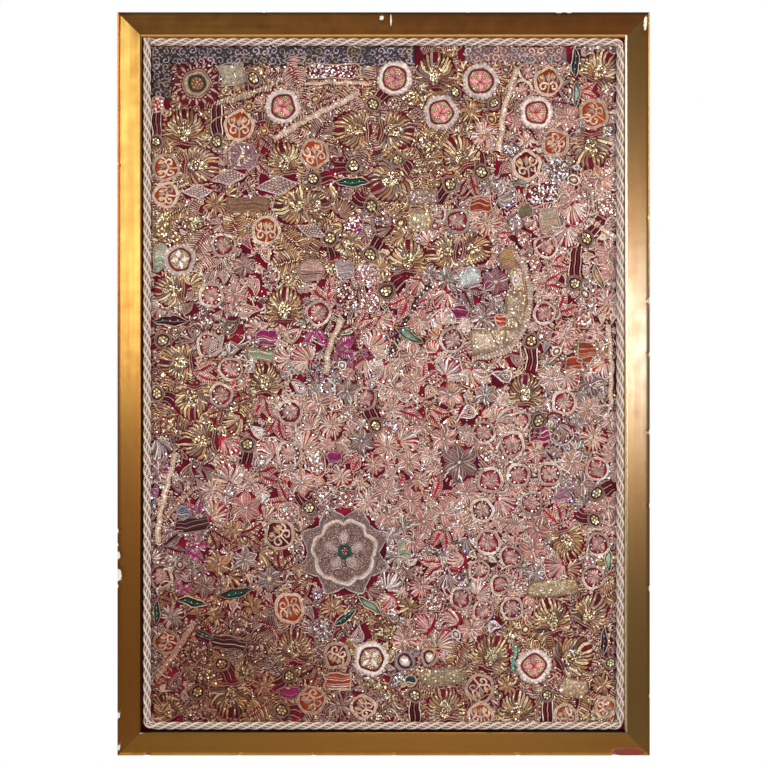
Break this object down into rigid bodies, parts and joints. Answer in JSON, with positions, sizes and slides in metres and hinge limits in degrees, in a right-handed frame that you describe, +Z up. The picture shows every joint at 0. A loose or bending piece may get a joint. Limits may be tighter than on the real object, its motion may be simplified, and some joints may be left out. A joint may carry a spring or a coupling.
{
  "type": "framed embroidered wall hanging in a gilt wood frame",
  "caption": "Upright panel of dense metal-thread patchwork embroidery, stretched in a flat gilt wood frame with a twisted rope trim along its inner edge.",
  "frame": {"origin": "middle of the top rail's flat back face, where the panel hangs against the wall", "axes": "+Z up along the panel's long side, +X to the viewer's right, +Y out of the back towards the wall"},
  "size_m": [1.09, 0.038, 1.522],
  "materials": {
    "gilt_wood": "rubbed gold leaf over red clay on white ground, satin, with faint cross joints of the leaf and chipped arrises",
    "plain_board": "bare plywood, matt",
    "embroidered_ground": "deep crimson velvet and silk patches under packed metal-thread embroidery",
    "twisted_rope": "three fat beige-pink strands with thin cream cords in their grooves",
    "gold_thread": "old gold bullion and laid metal thread with sequins, tarnished",
    "silver_thread": "silver-pink laid thread over crimson silk with bright sequins",
    "cream_braid": "woven cream braid with a dull metal sheen",
    "orange_satin": "burnt orange and oxblood satin under couched cream cord",
    "glitter_cloth": "pale gold cloth packed with glitter and small beads"
  },
  "bodies": {
    "root": {"frame_top": "gilt_wood", "frame_bottom": "gilt_wood", "frame_left": "gilt_wood", "frame_right": "gilt_wood", "backing_board": "plain_board", "embroidered_cloth": "embroidered_ground", "rope_trim": "twisted_rope", "sunburst": "gold_thread", "great_rosette": "cream_braid", "ring_flower_1": "cream_braid", "ring_flower_2": "cream_braid", "ring_flower_3": "cream_braid", "ring_flower_4": "cream_braid", "ring_flower_5": "cream_braid", "ring_flower_6": "cream_braid", "ring_flower_7": "cream_braid", "ring_flower_8": "cream_braid", "scroll_medallion_1": "orange_satin", "scroll_medallion_2": "orange_satin", "scroll_medallion_3": "orange_satin", "scroll_medallion_4": "orange_satin", "scroll_medallion_5": "orange_satin", "scroll_medallion_6": "orange_satin", "scroll_medallion_7": "orange_satin", "scroll_medallion_8": "orange_satin", "scroll_medallion_9": "orange_satin", "scroll_medallion_10": "orange_satin", "scroll_medallion_11": "orange_satin", "scroll_medallion_12": "orange_satin", "scroll_medallion_13": "orange_satin", "scroll_medallion_14": "orange_satin", "scroll_medallion_15": "orange_satin", "scroll_medallion_16": "orange_satin", "ringed_rosette_1": "silver_thread", "ringed_rosette_2": "silver_thread", "ringed_rosette_3": "silver_thread", "ringed_rosette_4": "silver_thread", "ringed_rosette_5": "silver_thread", "ringed_rosette_6": "silver_thread", "ringed_rosette_7": "silver_thread", "ringed_rosette_8": "silver_thread", "ringed_rosette_9": "silver_thread", "ringed_rosette_10": "silver_thread", "gold_palmette_1": "gold_thread", "gold_palmette_2": "gold_thread", "gold_palmette_3": "gold_thread", "gold_palmette_4": "gold_thread", "gold_palmette_5": "gold_thread", "gold_palmette_6": "gold_thread", "glitter_panel_1": "glitter_cloth", "glitter_panel_2": "glitter_cloth", "glitter_panel_3": "glitter_cloth", "glitter_panel_4": "glitter_cloth", "cream_braid_1": "cream_braid", "cream_braid_2": "cream_braid", "cream_braid_3": "cream_braid", "cream_braid_4": "cream_braid", "cream_braid_5": "cream_braid", "cream_braid_6": "cream_braid"}
  },
  "joints": []
}
